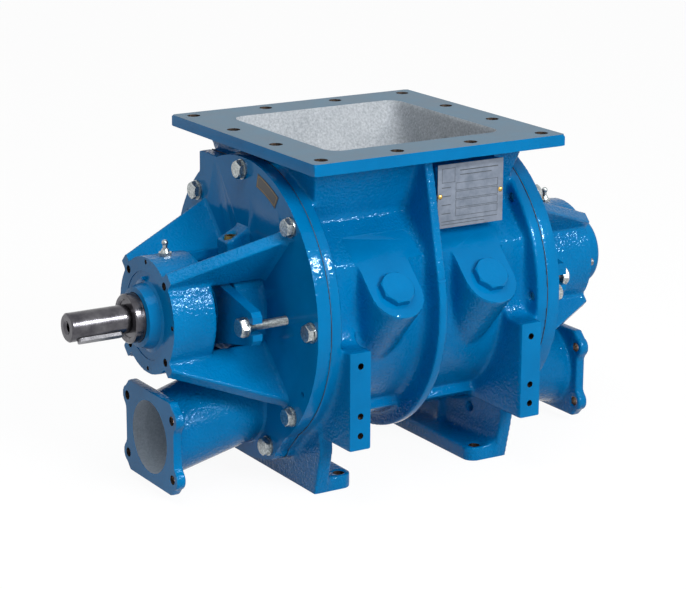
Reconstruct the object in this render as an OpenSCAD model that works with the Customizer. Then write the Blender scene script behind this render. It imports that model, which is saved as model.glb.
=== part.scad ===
// Blow-through rotary airlock valve with outboard bearings and packed glands.
// Frame: X along the shaft with the drive end at -X, -Y is the front with the plugs and pads,
// Z up, and the origin on the floor midway between the feet.

/* [Inlet] */
// Side of the square inlet flange
inlet_w = 300; // [296:1:306]
// Thickness of the inlet flange
inlet_t = 13; // [10:0.5:16]
// Height of the inlet face above the feet
inlet_z = 359; // [354:1:368]
// Spacing of the inlet flange holes, four a side
inlet_pitch = 88.33; // [87:0.1:89.5]
// Diameter of the inlet flange holes
inlet_hole_d = 14; // [11:0.5:14]
// Width of the inlet opening along the shaft
throat_x = 206; // [190:1:212]
// Width of the inlet opening across the shaft
throat_y = 208; // [196:1:214]
// Corner radius of the inlet opening
throat_r = 15; // [8:1:24]

/* [Housing] */
// Height of the shaft axis above the feet
axis_z = 187.5; // [186:0.5:190]
// Radius of the rotor bore
bore_r = 112; // [106:0.5:114]
// Wall round the rotor bore
barrel_wall = 16.5; // [14:0.5:18]
// Half length of the rotor bore, up to the gasket
bore_half = 131.5; // [130:0.5:134]
// Thickness of the end flanges
flange_t = 12.5; // [11:0.5:14]
// Radius of the end flanges and covers
disc_r = 152.5; // [151:0.5:155]
// Radius of the middle rib
rib_r = 155; // [150:1:158]
// Thickness of the middle rib
rib_t = 10; // [8:0.5:13]
// Radius of the cast fillets on the barrel
cast_r = 9; // [5:0.5:11]

/* [Cover bolts] */
// Radius of the bolt circle
bolt_circle_r = 139.5; // [138.5:0.5:141]
// Size of the cover bolts
bolt_d = 10; // [8:1:10]
// Width across the flats of the bolt heads
bolt_af = 17; // [15:0.5:18]
// Height of the bolt heads
bolt_head_h = 6.4; // [5:0.2:8]
// Sideways place of the two bolts under the pipe stub
low_bolt_y = 51; // [49:0.5:53]
// Drop of the two lower bolts below the axis
low_bolt_drop = 143.8; // [142:0.2:145]

/* [End covers] */
// Thickness of the cover discs
cover_t = 15; // [13:0.5:17]
// Thickness of the gaskets under the covers
gasket_t = 0.5; // [0.3:0.1:1.5]
// Radius of the bearing hubs
hub_r = 61; // [58:0.5:63]
// Distance of the hub faces from the middle of the valve
hub_face = 259; // [256:0.5:262]
// Outer radius of the stuffing boxes
box_r = 47; // [42:0.5:48]
// Inner radius of the lantern round the gland
lantern_r = 51.5; // [50:0.5:53]
// Inner end of the bearing hub, which is the end of the lantern windows
window_end = 211; // [206:0.5:211.5]
// Half height of the lantern windows
window_h = 38; // [35:0.5:38.5]
// Thickness of the four radial ribs
web_t = 14; // [11:0.5:16]
// Radius that the ribs reach at the cover
web_root_r = 123; // [116:1:128]
// Radius that the ribs reach at the hub face
web_tip_r = 70.5; // [68:0.5:73]

/* [Pipe stubs] */
// Bore of the conveying pipe
pipe_bore_d = 77; // [68:1:80]
// Height of the pipe axis at the pipe flange
pipe_z = 57.5; // [57:0.5:60]
// Wall of the pipe stubs
pipe_wall = 7.5; // [6.5:0.5:9]
// Rise of the stub towards the cover, in degrees
pipe_rise = 15; // [12:0.5:18]
// Thickness of the pipe flanges
pipe_flange_t = 10.5; // [9:0.5:13]
// Sideways spacing of the pipe flange holes
pipe_hole_y = 100.4; // [98:0.2:104]
// Upright spacing of the pipe flange holes
pipe_hole_z = 63; // [60:0.5:66]
// Diameter of the pipe flange holes
pipe_hole_d = 10; // [8:0.5:11]

/* [Shaft and rotor] */
// Diameter of the drive end of the shaft
drive_d = 30; // [26:1:33]
// Length of the drive end that stands out of the collar
drive_len = 65; // [58:1:80]
// Diameter of the shaft in the bearings
bearing_bore = 40; // [39.5:0.1:40.5]
// Diameter of the shaft in the packing
packing_d = 45; // [44:0.5:47]
// Diameter of the shaft in the rotor
rotor_bore = 50; // [48:1:54]
// Number of rotor vanes
vane_n = 10; // [8:1:12]
// Thickness of the rotor vanes
vane_t = 7; // [5:0.5:9]
// Radius of the rotor hub
rotor_hub_r = 42; // [38:1:46]
// Gap between the vane tips and the bore
tip_gap = 0.3; // [0.2:0.05:0.5]

/* [Bearings] */
// Outer diameter of the bearings
bearing_od = 90; // [88:0.5:92]
// Width of the bearings
bearing_w = 23; // [21:0.5:25]
// Number of balls in a bearing
ball_n = 8; // [7:1:8]
// Diameter of the balls
ball_d = 15; // [14:0.5:15.5]
// Diameter of the steel collar at the drive end
collar_d = 51; // [49:0.5:54]

/* [Glands] */
// Sideways place of the gland bolts
gland_bolt_y = 88; // [84:0.5:90]
// Thickness of the gland flange
gland_t = 11; // [9:0.5:12]
// Width across the flats of the gland bolt heads
gland_af = 18; // [17:0.5:19]
// Section of the packing rings
packing_s = 8; // [7:0.5:8]
// Width of a packing ring when pressed
packing_w = 7; // [6:0.5:7.5]
// Width of the lantern rings
lantern_w = 12; // [10:0.5:12]
// Take-up travel of the gland
gland_travel = 3; // [2:0.5:3.5]

/* [Plug bosses] */
// Sideways place of the plug bosses
plug_x = 57; // [54:0.5:60]
// Tilt of the boss faces, in degrees
plug_tilt = 44; // [42:0.5:46]
// Distance of the boss faces from the shaft axis
plug_face = 130; // [128:0.5:132]
// Drop of the plugs down the boss face
plug_drop = 86; // [84:0.5:88]
// Radius of the bosses
plug_boss_r = 30; // [27:0.5:31]
// Width across the flats of the octagon plug heads
plug_af = 35; // [30:0.5:38]
// Height of the plug heads
plug_head_h = 7.5; // [6:0.5:10]

/* [Pads and feet] */
// Inner side of the front pads
pad_x = 91.4; // [90:0.5:93]
// Width of the front pads
pad_w = 25.5; // [23:0.5:26]
// Distance of the pad faces from the axis
pad_y = 162.7; // [158:0.5:168]
// Bottom of the front pads
pad_bottom = 63.8; // [60:0.5:66]
// Top of the front pads
pad_top = 167; // [163:0.5:170]
// Diameter of the tapped holes in the pads
pad_hole_d = 6.8; // [5:0.1:8.5]
// Half length of the feet
foot_y = 100; // [96:0.5:106]
// Thickness of the foot soles
sole_t = 15; // [12:0.5:17]
// Thickness of the foot uprights
upright_t = 14; // [12:0.5:15]
// Width of the foot soles with the uprights
sole_w = 46.5; // [44:0.5:50]
// Diameter of the foot holes
foot_hole_d = 12; // [9:0.5:14]

/* [Nameplate] */
// Width of the nameplate
plate_w = 80.5; // [76:0.5:82]
// Height of the nameplate
plate_h = 66; // [60:0.5:68]
// Thickness of the nameplate
plate_t = 1; // [0.6:0.1:1.5]

/* [Hidden] */
$fn = 96;
paint = "#0a7fc4";
steel = "#b9bcc0";
zinc = "#cfd0cb";
brass = "#c9a24a";
dark = "#2c2d30";
bite = 1;                                   // how far joined castings run into each other
slip = 0.05;                                // radial clearance of fitted fasteners
fit = 0.3;                                  // clearance of running parts
barrel_r = bore_r + barrel_wall;
flange_in = bore_half - flange_t;
cover_in = bore_half + gasket_t;
cover_out = cover_in + cover_t;
rotor_half = cover_in - fit;
rotor_r = bore_r - tip_gap;
low_r = sqrt(low_bolt_y * low_bolt_y + low_bolt_drop * low_bolt_drop);
low_lobe_r = 15.5;                          // edge round a lower bolt
lobe_y = low_bolt_y + low_lobe_r - 0.9;     // where the bulge's straight side meets that edge
lobe_drop = low_bolt_drop + 4;
bulge_y = disc_r * cos(55);                 // where that side leaves the disc's own edge
bulge_drop = disc_r * sin(55);
tuck_y = disc_r * cos(66);                  // inner corner, well inside the disc
tuck_drop = disc_r * sin(50);
ear_y = 93.5;                               // back side of the square ear on the discs
ear_z = axis_z + 142.5;                     // flat top of the ear
bolt_angles = [90, 45, 135, 0, 180, -45, 225];
bolt_hole_r = bolt_d / 2 + slip;
washer_t = 2;
washer_r = 10.5;
jack_hole_r = 3.4;
neck_low_z = 286;                           // where the neck meets the barrel
neck_low_y = 88;
neck_top_y = throat_y / 2 + 9;
neck_x = flange_in;
neck_top_x = throat_x / 2 + 24;
throat_low_y = 78;
flare_lean = atan2(throat_y / 2 - throat_low_y, inlet_z - neck_low_z);
rib_lean = 13;                              // lean of the middle rib under the flange, in degrees
belly_r = barrel_r + 10.5;                  // thicker wall along the bottom of the barrel
belly_angle = 35;
crease = [-neck_low_y, neck_low_z];
brow = [-126, axis_z + 59.5];               // front edge of the sloping shoulder above the plugs
wall_foot = [-barrel_r, axis_z + 6];
web_low_u = cover_out - bite;
box_end = cover_out + 31;
box_bore_r = packing_d / 2 + packing_s;
box_floor = cover_in + 8;
shaft_hole_r = packing_d / 2 + 0.5;
lantern_u = box_floor + 2 * packing_w;
outer_ring_u = lantern_u + lantern_w;
gland_nose = outer_ring_u + packing_w + gland_travel + 0.2;
gland_u = box_end + gland_travel + 1;
gland_bolt_end = cover_in + 6;
port_u = lantern_u + lantern_w / 2 + 1.5;   // the purge port stands over the lantern ring
port_r = 4.5;
bushing_r = 6.5;
pad_slope_low = 254.4;                      // height of the purge boss at its outer end
pad_slope_top = 266.8;
hub_len = hub_face - window_end;
window_r = 6;                               // corners of the windows
bearing_u = 222;
bearing_out = bearing_u + bearing_w;
bearing_r = bearing_od / 2;
counterbore_u = hub_face - 8;
counterbore_r = bearing_r + 1;
seal_bore_r = 36;
seal_seat_end = window_end + 9;
pitch_r = (bearing_r + bearing_bore / 2) / 2;
groove_r = ball_d / 2 + 0.3;
inner_race_r = pitch_r - 4.5;
outer_race_r = pitch_r + 5;
collar_end = hub_face + 24;
shaft_end = collar_end + drive_len;
collar_bore_r = 19;
nut_end = bearing_out + 13;
hub_bolt_r = 56;                            // circle of the tapped holes in the drive hub face
hub_hole_r = 4.25;
small_hole_r = 2.5;
pipe_face = hub_face - 0.5;
pipe_r = pipe_bore_d / 2;
stub_r = pipe_r + pipe_wall;
stub_end_r = stub_r - 2.5;                  // the stub narrows towards its flange
stub_reach = pipe_face - bore_half + 25;    // runs through the cover on the slope
pipe_in = pipe_face - pipe_flange_t;
pipe_straight = pipe_in - 1.5;              // inner end of the straight pipe bore
port_top_r = bore_r - 2;                    // the port stays inside the rotor bore
port_lip = 7;
plug_shank_r = 14.8;
plug_hole_r = plug_shank_r + slip;
foot_x = flange_in;
sole_in = foot_x - sole_w;
upright_in = foot_x - upright_t;
hip_y = foot_y + 12;                        // widest part of the foot uprights
hip_z = 50;
foot_top = 110;
gusset_t = 8;                               // small rib between sole, upright and barrel
gusset_len = 7;
foot_hole_x = 85.5;
foot_hole_y = foot_y - 10.5;
pad_holes = [152.1, 99.7, 79.1];
plate_y = -127;
plate_x0 = 8;
plate_z0 = 271.2;
key_w = 8;
key_h = 7;
key_len = 50;
key_angle = -52;
shaft_turn = 29.5;                          // keeps the start of the turned surface off the key seat
nose_r = 39;                                // nose of the closed cap over the shaft end
nose_end = hub_face + 28;
nose_wall = 6;
nose_bore = nose_r - nose_wall;
nipple_u = hub_face - 22;
nipple_r = 4;
spot_r = 9;
fitting_z = axis_z + sqrt(hub_r * hub_r - spot_r * spot_r) - 0.2;
relief_u = nipple_u - 13;
relief_r = 3;
grub_r = 4;
grub_len = 12;
cap_pin_r = 38.5;
cap_pin_angle = 96;
vane_pitch = 360 / vane_n;
pocket_r = (rotor_hub_r * sin(vane_pitch / 2) - vane_t / 2) / (1 - sin(vane_pitch / 2));
pocket_c = rotor_hub_r + pocket_r;          // centre of the round pocket bottoms
pin_u = 95;                                 // place of the rotor cross pins

// ---- placing helpers ----------------------------------------------------------------

// Extrudes a (Y, Z) outline from x0 to x1
module along_x(x0, x1) {
    translate([x0, 0, 0])
        rotate([90, 0, 90])
            linear_extrude(x1 - x0)
                children();
}

// Extrudes an (X, Z) outline from y0 to y1
module along_y(y0, y1) {
    translate([0, y1, 0])
        rotate([90, 0, 0])
            linear_extrude(y1 - y0)
                children();
}

// Turns a (radius, X) profile about the shaft axis
module turned() {
    translate([0, 0, axis_z])
        rotate([0, 90, 0])
            rotate_extrude()
                children();
}

// Moves to radius r at angle a about the shaft, from the front upwards
module polar(r, a) {
    translate([0, -r * cos(a), axis_z + r * sin(a)])
        children();
}

// Cylinder along X from x0 to x1
module rod_x(r, x0, x1) {
    translate([x0, 0, 0])
        rotate([0, 90, 0])
            cylinder(r = r, h = x1 - x0);
}

// A piece that is made for the +X end, put at the drive end
module at_drive() {
    mirror([1, 0, 0])
        children();
}

// Places a piece at all nine cover bolts
module at_cover_bolts() {
    for (a = bolt_angles)
        polar(bolt_circle_r, a)
            children();
    for (s = [-1, 1])
        translate([0, s * low_bolt_y, axis_z - low_bolt_drop])
            children();
}

// Flat square from a to b
module box2(a, b) {
    translate(a)
        square(b - a);
}

// Rectangle with round corners, exact arcs
module round_rect(w, h, r) {
    square([w - 2 * r, h], center = true);
    square([w, h - 2 * r], center = true);
    for (sx = [-1, 1], sy = [-1, 1])
        translate([sx * (w / 2 - r), sy * (h / 2 - r)])
            circle(r);
}

// Hexagon bolt head from x0, with the chamfer of a turned blank
module hex_head(x0, af, h) {
    intersection() {
        translate([x0, 0, 0])
            rotate([0, 90, 0])
                cylinder(r = af / 2 / cos(30), h = h, $fn = 6);
        translate([x0 - bite, 0, 0])
            rotate([0, 90, 0])
                cylinder(r1 = af / 2 + h + bite, r2 = af / 2 - 0.4, h = h + bite, $fn = 48);
    }
}

// ---- housing ------------------------------------------------------------------------

// Outline of the end flanges, covers and gaskets, with the ear and the bulge at the pipe
module disc_outline() {
    translate([0, axis_z]) {
        circle(disc_r);
        intersection() {
            circle(low_r + low_lobe_r - 0.6);
            polygon([[0, 0], [-low_bolt_y, -low_bolt_drop], [-low_bolt_y, -200],
                     [low_bolt_y, -200], [low_bolt_y, -low_bolt_drop]]);
        }
        for (s = [-1, 1])
            translate([s * low_bolt_y, -low_bolt_drop])
                circle(low_lobe_r);
        polygon([[-tuck_y, -tuck_drop], [-bulge_y, -bulge_drop], [-lobe_y, -lobe_drop],
                 [-low_bolt_y, -low_bolt_drop], [low_bolt_y, -low_bolt_drop],
                 [lobe_y, -lobe_drop], [bulge_y, -bulge_drop], [tuck_y, -tuck_drop]]);
    }
    box2([ear_y / 2, axis_z + disc_r / 2], [ear_y, ear_z]);
}

// Outline of the barrel with the shoulder above the plugs
module barrel_outline() {
    translate([0, axis_z])
        circle(barrel_r);
    polygon([[0, axis_z], [0, neck_low_z], crease, brow, wall_foot]);
    intersection() {
        translate([0, axis_z])
            circle(belly_r);
        polygon([[0, axis_z], [-axis_z * tan(belly_angle), 0], [axis_z * tan(belly_angle), 0]]);
    }
}

// Outline of the middle rib, which runs straight up to the inlet flange
module rib_outline() {
    y = rib_r * cos(rib_lean);
    z = axis_z + rib_r * sin(rib_lean);
    top = inlet_z - inlet_t + bite;
    translate([0, axis_z])
        circle(rib_r);
    polygon([[-y, z], [-y + (top - z) * tan(rib_lean), top],
             [y - (top - z) * tan(rib_lean), top], [y, z], [0, axis_z]]);
}

// Neck between the barrel and the inlet flange, wider at the top
module neck() {
    top = inlet_z - inlet_t + bite;
    intersection() {
        along_x(-neck_top_x, neck_top_x)
            polygon([[-neck_low_y, axis_z], [-neck_low_y, neck_low_z], [-neck_top_y, top],
                     [neck_top_y, top], [neck_low_y, neck_low_z], [neck_low_y, axis_z]]);
        along_y(-neck_top_y, neck_top_y)
            polygon([[-neck_x, axis_z], [-neck_x, neck_low_z + 21], [-neck_top_x, top],
                     [neck_top_x, top], [neck_x, neck_low_z + 21], [neck_x, axis_z]]);
    }
}

// Half outline of the flare across the shaft, its side walls set in by d
module flare_outline(d) {
    low = throat_low_y - d;
    top = throat_y / 2 - d + bite * tan(flare_lean);
    polygon([[-low, neck_low_z], [-top, inlet_z + bite], [top, inlet_z + bite], [low, neck_low_z]]);
}

// Inlet opening: straight over the rotor, flaring through the neck, with round corners
module throat() {
    inset = throat_r / cos(flare_lean);
    x = throat_x / 2;
    along_x(-x + throat_r, x - throat_r)
        flare_outline(0);
    along_x(-x, x)
        flare_outline(inset);
    for (sx = [-1, 1], sy = [-1, 1])
        translate([sx * (x - throat_r), sy * (throat_low_y - inset), neck_low_z])
            rotate([-sy * flare_lean, 0, 0])
                translate([0, 0, -8])
                    cylinder(r = throat_r, h = 8 + (inlet_z - neck_low_z + 9) / cos(flare_lean));
    translate([0, 0, axis_z])
        linear_extrude(neck_low_z - axis_z + 3)
            round_rect(throat_x, 2 * throat_low_y, throat_r + 4);
}

// Moves to a plug boss: local Z is square to the boss face, local Y runs up the face
module at_boss(s) {
    translate([s * plug_x, 0, axis_z])
        rotate([plug_tilt, 0, 0])
            translate([0, -plug_drop - 3, 0])
                children();
}

// Boss with a round lower end and a square upper end that runs into the shoulder
module plug_boss(s) {
    at_boss(s) {
        translate([0, 0, 45])
            cylinder(r = plug_boss_r, h = plug_face - 45);
        translate([-plug_boss_r, 0, 90])
            cube([2 * plug_boss_r, 42, plug_face - 90]);
    }
}

module plug_hole(s) {
    at_boss(s)
        translate([0, 3, 55])
            cylinder(r = plug_hole_r, h = 100);
}

// Ring fillet where the barrel meets a wall at x; s is the side that the barrel lies on
module barrel_fillet(x, s) {
    c = x + s * cast_r;
    turned()
        difference() {
            box2([barrel_r - 3, min(x - s * bite, c)], [barrel_r + cast_r, max(x - s * bite, c)]);
            translate([barrel_r + cast_r, c])
                circle(cast_r);
        }
}

// Front pad on its web, for the +X side
module front_pad() {
    f = 14;
    along_x(pad_x, pad_x + pad_w) {
        polygon([[-pad_y, pad_bottom], [-pad_y, pad_top], [-barrel_r + 14, pad_top],
                 [-60, axis_z - 60], [-20, pad_bottom]]);
        difference() {
            box2([-barrel_r - f - 2, pad_top - bite], [-barrel_r + 6, pad_top + f]);
            translate([-barrel_r - f - 2, pad_top + f])
                circle(f);
        }
    }
}

// Foot for the +X side: upright, sole and the fillet between them
module foot() {
    f = 10;
    along_x(upright_in, foot_x + bite)
        polygon([[-foot_y, 0], [-hip_y, hip_z], [-foot_y - 2, foot_top], [foot_y + 2, foot_top],
                 [hip_y, hip_z], [foot_y, 0]]);
    along_y(-gusset_t / 2, gusset_t / 2)
        box2([upright_in - gusset_len, sole_t - bite], [upright_in + bite, axis_z - barrel_r]);
    difference() {
        linear_extrude(sole_t)
            difference() {
                translate([sole_in, -foot_y])
                    square([sole_w - bite, 2 * foot_y]);
                for (s = [-1, 1])
                    translate([sole_in, s * foot_y])
                        corner_cut(s);
            }
        for (s = [-1, 1])
            translate([foot_hole_x, s * foot_hole_y, -bite])
                cylinder(d = foot_hole_d, h = sole_t + 2 * bite);
    }
    along_y(-foot_y, foot_y)
        difference() {
            box2([upright_in - f, sole_t - bite], [upright_in + bite, sole_t + f]);
            translate([upright_in - f, sole_t + f])
                circle(f);
        }
}

// What is cut from a sole corner to leave it round
module corner_cut(s) {
    r = 13;
    difference() {
        translate([-bite, s > 0 ? -r : -bite])
            square([r + bite, r + bite]);
        translate([r, -s * r])
            circle(r);
    }
}

// Machined block behind the nameplate
module plate_block() {
    translate([plate_x0 + 0.5, plate_y, plate_z0 + 0.5])
        cube([plate_w - 1, 60, plate_h - 1]);
}

module housing() {
    color(paint)
        difference() {
            union() {
                along_x(-flange_in - bite, flange_in + bite)
                    barrel_outline();
                for (m = [0, 1])
                    mirror([m, 0, 0]) {
                        along_x(flange_in, bore_half)
                            disc_outline();
                        barrel_fillet(flange_in, -1);
                        barrel_fillet(rib_t / 2, 1);
                        front_pad();
                        foot();
                    }
                along_x(-rib_t / 2, rib_t / 2)
                    rib_outline();
                neck();
                plate_block();
                translate([-inlet_w / 2, -inlet_w / 2, inlet_z - inlet_t])
                    cube([inlet_w, inlet_w, inlet_t]);
                for (s = [-1, 1])
                    plug_boss(s);
            }
            turned()
                translate([0, -bore_half - bite])
                    square([bore_r, 2 * (bore_half + bite)]);
            throat();
            inlet_holes();
            for (s = [-1, 1])
                plug_hole(s);
            at_cover_bolts()
                rod_x(bolt_hole_r, -bore_half - bite, -upright_in + 5);
            at_cover_bolts()
                rod_x(bolt_hole_r, upright_in - 5, bore_half + bite);
            for (s = [-1, 1], z = pad_holes)
                translate([s * (pad_x + pad_w / 2), -pad_y - bite, z])
                    rotate([-90, 0, 0])
                        cylinder(d = pad_hole_d, h = 20 + bite);
            for (x = [plate_x0 + 3, plate_x0 + plate_w - 3])
                translate([x, plate_y - bite, plate_z0 + plate_h / 2])
                    rotate([-90, 0, 0])
                        cylinder(r = 1.5 + slip, h = 9);
        }
}

// Twelve holes on a square, four a side
module inlet_holes() {
    for (i = [-1.5 : 1.5], j = [-1.5 : 1.5])
        if (abs(i) == 1.5 || abs(j) == 1.5)
            translate([i * inlet_pitch, j * inlet_pitch, inlet_z - inlet_t - bite])
                cylinder(d = inlet_hole_d, h = inlet_t + 2 * bite);
}

// ---- end covers, modelled for the +X end -----------------------------------------------

// Lantern tube with its windows, and the hub that holds the bearing
module lantern() {
    difference() {
        turned() {
            translate([lantern_r, web_low_u])
                square([hub_r - lantern_r, window_end - web_low_u + bite]);
            translate([0, window_end])
                square([hub_r, hub_len]);
        }
        along_y(-hub_r - bite, hub_r + bite)
            translate([(web_low_u - 2 * window_r + window_end) / 2, axis_z])
                round_rect(window_end - web_low_u + 2 * window_r, 2 * window_h, window_r);
        translate([0, 0, axis_z])
            linear_extrude(hub_r + bite)
                translate([(cover_out + 2 + window_end) / 2, 0])
                    round_rect(window_end - cover_out - 2, 2 * window_h - 12, window_r);
        translate([0, 0, axis_z - hub_r - bite])
            linear_extrude(hub_r)
                translate([(box_end + 2 + window_end) / 2, 0])
                    round_rect(window_end - box_end - 2, 2 * window_h - 12, window_r);
    }
}

// Four tapering radial ribs
module webs() {
    for (a = [45 : 90 : 315])
        translate([0, 0, axis_z])
            rotate([a, 0, 0])
                along_y(-web_t / 2, web_t / 2)
                    polygon([[web_low_u, lantern_r + 2], [hub_face, lantern_r + 2],
                             [hub_face, web_tip_r], [cover_out + 4, web_root_r],
                             [web_low_u, web_root_r + 3]]);
}

// Outline of the pipe flange: a block with four round lobes at the bolts
module pipe_flange_outline() {
    y = pipe_hole_y / 2;
    z = pipe_hole_z / 2;
    lobe = pipe_hole_d / 2 + 6;
    waist = y + 4;
    top = pipe_hole_z / 2 + 18.3;
    translate([0, pipe_z]) {
        polygon([[-waist, -z], [-waist + 8, -top], [waist - 8, -top], [waist, -z],
                 [waist, z], [waist - 8, top], [-waist + 8, top], [-waist, z]]);
        for (sy = [-1, 1], sz = [-1, 1])
            translate([sy * y, sz * z]) {
                circle(lobe);
                polygon([[0, 0], [sy * lobe, sz * 2], [sy * (waist - 7.5 - y), sz * (top - z)],
                         [-sy * 6, sz * (top - z)]]);
                polygon([[0, 0], [sy * (lobe - 1.2), -sz * 4.4], [sy * (waist - y), -sz * 13]]);
            }
    }
}

// Sloping tube axis of the stub: local Z runs out of the cover, local origin at the flange
module along_stub() {
    translate([pipe_in, 0, pipe_z])
        rotate([0, 90 + pipe_rise, 0])
            children();
}

// Stub without its bore, a little wider at the cover, cut off square at both ends
module stub_body() {
    past = 30;
    slope = (stub_r - stub_end_r) / (pipe_in - cover_out);
    intersection() {
        along_stub()
            translate([0, 0, -stub_reach])
                cylinder(r1 = stub_end_r + stub_reach * slope, r2 = stub_end_r - past * slope,
                         h = stub_reach + past);
        translate([web_low_u, -stub_r - bite, 0])
            cube([pipe_in + bite - web_low_u, 2 * (stub_r + bite), 2 * axis_z]);
    }
}

// Conveying passage: straight at the flange, then sloping up to the rotor pockets
module pipe_passage() {
    translate([0, 0, pipe_z])
        rod_x(pipe_r, pipe_straight, pipe_face + bite);
    intersection() {
        along_stub()
            translate([0, 0, -stub_reach])
                cylinder(r = pipe_r - 0.5, h = stub_reach + 30);
        union() {
            translate([cover_in + port_lip, -60, 0])
                cube([pipe_straight + 0.2 - cover_in - port_lip, 120, axis_z]);
            turned()
                translate([0, cover_in - bite])
                    square([port_top_r, port_lip + 2 * bite]);
        }
    }
}

// Boss over the lantern ring, with a top that slopes like the ribs
module purge_boss() {
    along_y(-12, 12)
        polygon([[web_low_u, axis_z + box_r - 6], [cover_out + 24.5, axis_z + box_r - 6],
                 [cover_out + 24.5, pad_slope_low], [cover_out, pad_slope_top],
                 [web_low_u, pad_slope_top]]);
}

// Turned bores of the cover: shaft hole, stuffing box, seal seat and bearing seat
module cover_bores() {
    turned() {
        translate([0, cover_in - bite])
            square([shaft_hole_r, 20]);
        translate([0, box_floor])
            square([box_bore_r, box_end - box_floor + bite]);
        translate([0, window_end - bite])
            square([seal_bore_r, seal_seat_end - window_end + 2 * bite]);
        translate([0, seal_seat_end])
            square([bearing_r - 6, bearing_u - seal_seat_end + bite]);
        translate([0, bearing_u])
            square([bearing_r, hub_len]);
        translate([0, counterbore_u])
            square([counterbore_r, 8 + bite]);
    }
}

module end_cover(blind) {
    difference() {
        union() {
            along_x(cover_in, cover_out)
                disc_outline();
            turned()
                translate([0, web_low_u])
                    square([box_r, box_end - web_low_u]);
            lantern();
            webs();
            purge_boss();
            stub_body();
            along_x(pipe_in, pipe_face)
                pipe_flange_outline();
        }
        cover_bores();
        pipe_passage();
        at_cover_bolts()
            rod_x(bolt_hole_r, cover_in - bite, cover_out + 12);
        for (s = [-1, 1])
            translate([0, s * gland_bolt_y, axis_z])
                rod_x(bolt_d / 2 + fit / 3, cover_in + 1, cover_out + bite);
        translate([port_u, 0, axis_z])
            cylinder(r = port_r, h = 120);
        translate([port_u, 0, axis_z + 55])
            cylinder(r = bushing_r + slip, h = 60);
        if (blind) {
            translate([relief_u, 0, axis_z])
                cylinder(r = relief_r + slip, h = hub_r + bite);
            polar(hub_bolt_r, 0)
                rod_x(grub_r + slip, hub_face - grub_len, hub_face + bite);
        } else {
            for (a = [45 : 90 : 315])
                polar(hub_bolt_r, a)
                    rod_x(hub_hole_r, hub_face - 20, hub_face + bite);
            for (a = [0 : 90 : 270])
                polar(hub_bolt_r, a)
                    rod_x(small_hole_r, hub_face - 12, hub_face + bite);
        }
        for (a = [-30, 150])
            polar(bolt_circle_r, a)
                rod_x(jack_hole_r, cover_in - bite, cover_out + bite);
        for (sy = [-1, 1], sz = [-1, 1])
            translate([0, sy * pipe_hole_y / 2, pipe_z + sz * pipe_hole_z / 2])
                rod_x(pipe_hole_d / 2, pipe_in - bite, pipe_face + bite);
        translate([nipple_u, 0, axis_z])
            cylinder(r = nipple_r + slip, h = hub_r + bite);
        translate([nipple_u, 0, fitting_z])
            cylinder(r = spot_r, h = 10);
    }
}

module cover_gasket() {
    color(dark)
        difference() {
            along_x(bore_half, cover_in)
                disc_outline();
            turned()
                translate([0, bore_half - bite])
                    square([bore_r + 0.5, gasket_t + 2 * bite]);
            at_cover_bolts()
                rod_x(bolt_hole_r + 0.4, bore_half - bite, cover_in + bite);
        }
}

module cover_bolts() {
    color(zinc)
        at_cover_bolts() {
            rod_x(bolt_d / 2, flange_in + 3, cover_out + washer_t + bite / 2);
            hex_head(cover_out + washer_t, bolt_af, bolt_head_h);
        }
}

module cover_washers() {
    color(zinc)
        at_cover_bolts()
            difference() {
                rod_x(washer_r, cover_out, cover_out + washer_t);
                rod_x(bolt_d / 2 + fit, cover_out - bite, cover_out + washer_t + bite);
            }
}

// ---- rotor and shaft -------------------------------------------------------------------

// Vanes with a bevelled tip, and pockets with round bottoms
module rotor_outline() {
    tip = sqrt(rotor_r * rotor_r - vane_t * vane_t / 4);
    arm = pocket_c * cos(vane_pitch / 2) + 1.5;
    circle(rotor_hub_r);
    for (i = [0 : vane_n - 1])
        rotate(i * vane_pitch)
            polygon([[0, -vane_t / 2], [tip, -vane_t / 2], [tip, vane_t / 2 - 2.5],
                     [tip - 5, vane_t / 2], [0, vane_t / 2]]);
    difference() {
        for (i = [0 : vane_n - 1])
            polygon([[0, 0], [arm * cos(i * vane_pitch), arm * sin(i * vane_pitch)],
                     [arm * cos((i + 1) * vane_pitch), arm * sin((i + 1) * vane_pitch)]]);
        for (i = [0 : vane_n - 1])
            rotate((i + 0.5) * vane_pitch)
                translate([pocket_c, 0])
                    circle(pocket_r);
    }
}

// Cross pins through hub and shaft, along the middle of a pocket
module pin_pair(r, reach) {
    for (s = [-1, 1])
        translate([s * pin_u, 0, axis_z])
            rotate([vane_pitch / 2, 0, 0])
                rotate([90, 0, 0])
                    translate([0, 0, -reach])
                        cylinder(r = r, h = 2 * reach);
}

module rotor() {
    color(steel)
        difference() {
            translate([0, 0, axis_z])
                along_x(-rotor_half, rotor_half)
                    rotor_outline();
            rod_axis(rotor_bore / 2 + slip, -rotor_half - bite, rotor_half + bite);
            pin_pair(5 + slip, rotor_hub_r + bite);
        }
}

// Cylinder on the shaft axis from x0 to x1
module rod_axis(r, x0, x1) {
    translate([0, 0, axis_z])
        rod_x(r, x0, x1);
}

module rotor_pins() {
    color(steel)
        pin_pair(5, rotor_hub_r - 1);
}

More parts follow.
